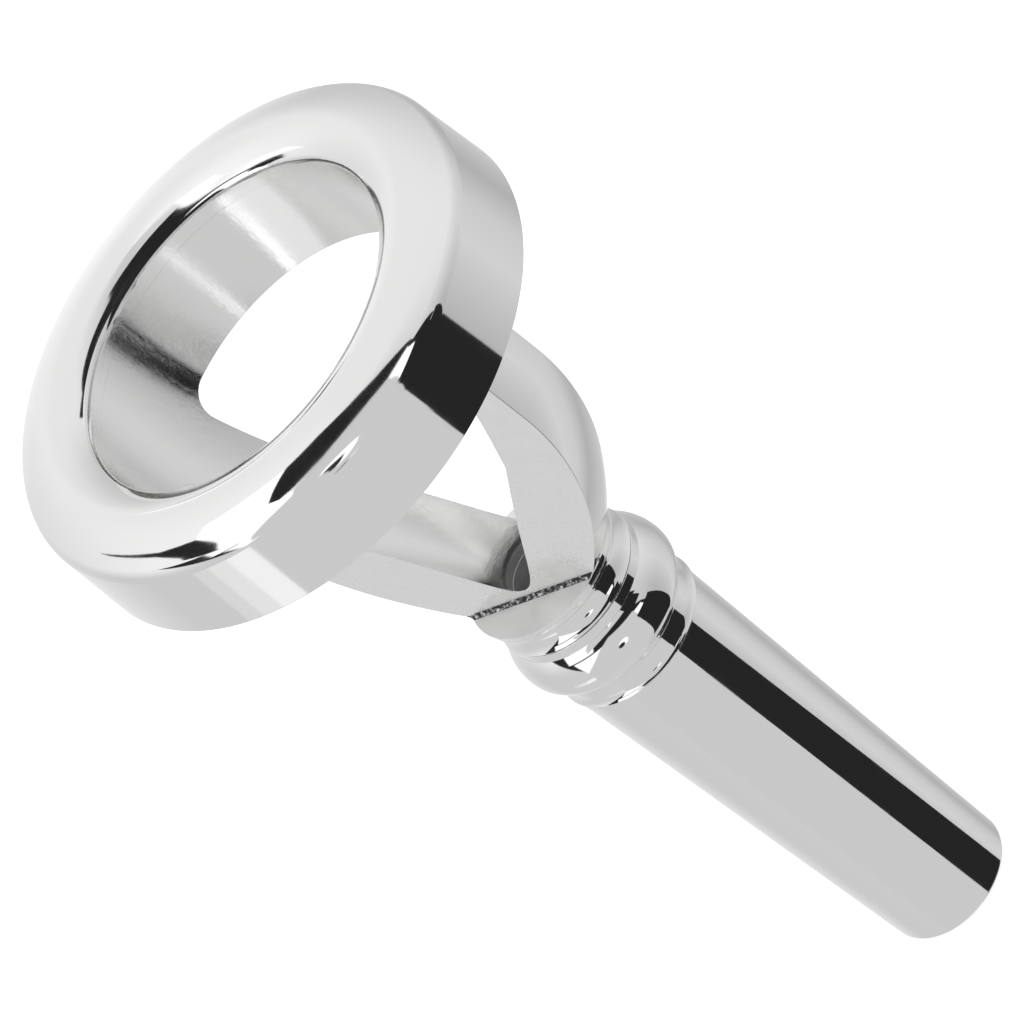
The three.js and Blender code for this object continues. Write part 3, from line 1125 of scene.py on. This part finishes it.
# Millimetres between the cards that lie one in front of the other.
CARD_GAP = 0.5
PANEL_LEFT, PANEL_MIDDLE, PANEL_RIGHT = (22.7, 9.5), (21.5, -8.5), (20.4, -16.1)
PANEL_FAR_RIGHT, PANEL_FRONT = (45.6, -58), (CARD_FRONT, -84)
ARM_START, ARM_TURN, ARM_FRONT = (21.2, 16.2), (32.7, 23.5), (CARD_FRONT, 22.5)
ARCH_LEFT, ARCH_RIGHT, ARCH_BACK = (20.3, 17.3), (16.1, -20.6), (11.5, -12)
BOX_FRONT, BOX_BACK = (18.4, -19.2), (8.6, -33.5)
WEDGE_BACK, WEDGE_FRONT = (1.8, -33.5), (19.4, -50.5)
overhead_card("grey_screen", CARD_HEIGHT, (
    PANEL_MIDDLE, PANEL_LEFT, ARM_FRONT, PANEL_FRONT, PANEL_FAR_RIGHT, PANEL_RIGHT), GREY)
overhead_card("dark_screen_arm", CARD_HEIGHT, (
    ARCH_LEFT, ARM_START, ARM_TURN, ARM_FRONT, (CARD_FRONT, 65)), BLACK)
overhead_card("dark_screen_centre", CARD_HEIGHT, (
    ARCH_BACK, (13.2, -5.2), (15.9, 0.6), (18.6, 7.7), ARCH_LEFT, ARM_START, PANEL_LEFT,
    PANEL_MIDDLE, (19.8, -15.8), BOX_FRONT, ARCH_RIGHT), BLACK)
overhead_card("dark_screen_tip", CARD_HEIGHT, (
    (-39, -55), (-22.4, -47.6), (-7.8, -40.8), WEDGE_BACK, BOX_BACK, WEDGE_FRONT, (-0.6, -41.8),
    (-9.1, -43.7), (-29.5, -52)), BLACK)
overhead_card("white_card_back", CARD_HEIGHT, (
    (1.3, -27.6), ARCH_BACK, ARCH_RIGHT, BOX_FRONT, BOX_BACK, WEDGE_BACK), WHITE)
overhead_card("white_card_left", CARD_HEIGHT, (
    BOX_BACK, BOX_FRONT, PANEL_RIGHT, PANEL_FAR_RIGHT, PANEL_FRONT, (CARD_FRONT, -100),
    WEDGE_FRONT), WHITE)
overhead_card("white_card_right", CARD_HEIGHT, (PANEL_LEFT, ARM_START, ARM_TURN, ARM_FRONT), WHITE)
overhead_card("lamp", CARD_HEIGHT - CARD_GAP * MM, half_oval((CARD_FRONT, -11.5), (-26, 7.7)), WHITE)
overhead_card("lamp_shade", CARD_HEIGHT - 2 * CARD_GAP * MM,
              half_oval((CARD_FRONT, -15.3), (-17, 3.8)), BLACK)

# Upright cards in front of the rim, which carry the panel, the arm and the lamp on downwards.
FRONT = 40
FRONT_LEFT, FRONT_MIDDLE, FRONT_RIGHT = 34, 12.4, -50
FRONT_HEIGHTS = (0.0765, 0.0955)
upright_card("grey_screen_front", (FRONT, FRONT_MIDDLE), (FRONT, FRONT_RIGHT), FRONT_HEIGHTS, GREY)
upright_card("dark_screen_front", (FRONT, FRONT_LEFT), (FRONT, FRONT_MIDDLE), FRONT_HEIGHTS, BLACK)
upright_oval("lamp_front", (FRONT - CARD_GAP, -7), 5, (0.084, FRONT_HEIGHTS[1]), WHITE)
upright_oval("lamp_shade_front", (FRONT - 2 * CARD_GAP, -9.4), 2.6, (0.0865, FRONT_HEIGHTS[1]), BLACK)

# Cards over the bore, placed so that the rim's inner edge mirrors them on its far side.
BITE_CARD_HEIGHT = 0.088
BITE_SCREEN_HEIGHT = 0.0878
BITE_CARD_FOOT = 0.0806
overhead_card("bite_screen_over", BITE_SCREEN_HEIGHT, (
    (-2.5, -2.9), (-8.2, -0.6), (-12, -1.5), (-12, 1.6), (-8.2, 0.6), (-2.5, 2.9)), BLACK)
overhead_card("bite_light_near", BITE_CARD_HEIGHT, (
    (-2.5, -2.9), (-8.7, -0.1), (-10, 0), (-7.4, -5.9), (-4.5, -14)), WHITE)
overhead_card("bite_light_far", BITE_CARD_HEIGHT, (
    (-8.9, 0.1), (-12, 1.7), (-13.6, 2.2), (-12.5, 3.4), (-11.2, 2.4), (-10, 0.2)), WHITE)
overhead_card("bite_tip_near", BITE_CARD_HEIGHT, (
    (-7.4, -5.9), (-10, 0), (-11, -0.6), (-10.5, -9.8)), BLACK)
BITE_LEFT, BITE_MIDDLE, BITE_RIGHT = (-2, 4.5), (-2, -8.1), (-8.5, -9.5)
upright_card("bite_screen", BITE_LEFT, BITE_MIDDLE, (BITE_CARD_FOOT, 0.107), BLACK)
upright_card("bite_light", BITE_MIDDLE, BITE_RIGHT, (BITE_CARD_FOOT, 0.1), WHITE)

# Upright cards close to the far side of the bore, seen only from there.
BORE_CARD_HEIGHTS = (0.07, 0.0777)
BORE_LIGHT_EDGE = (-9.98, 4.5)
BORE_BRIGHT, BORE_DIM = 1.5, 0.84
upright_card("bore_screen", (-10.3, -3.05), (-10.1, -4.3), BORE_CARD_HEIGHTS, BLACK)
upright_card("bore_light", BORE_LIGHT_EDGE, (-10.08, 4.1), BORE_CARD_HEIGHTS, BORE_BRIGHT)
upright_card("bore_light_side", (-9.12, 6.85), BORE_LIGHT_EDGE, BORE_CARD_HEIGHTS, BORE_DIM)
upright_card("bore_light_thin", (-10.5, 0.8), (-10.5, 0.63), BORE_CARD_HEIGHTS, BORE_BRIGHT)

# ---- pieces -------------------------------------------------------------------------------------
# How each node of the frame gets its finished mesh.
PIECES = {
    "rim_ring": lambda: turned("rim_ring_finished", rim_outline(), [plate, satin]),
    "cup_cage": cup_cage,
    "neck_bead": lambda: turned("neck_bead_finished", bead_outline(), [plate, satin]),
    "neck_collar": lambda: turned("neck_collar_finished", collar_outline(), [plate, satin]),
    "shank": lambda: turned("shank_finished", shank_outline(), [plate, throat_bore]),
}
for node, make in PIECES.items():
    piece = make()
    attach(piece, "root")
    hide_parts(node)
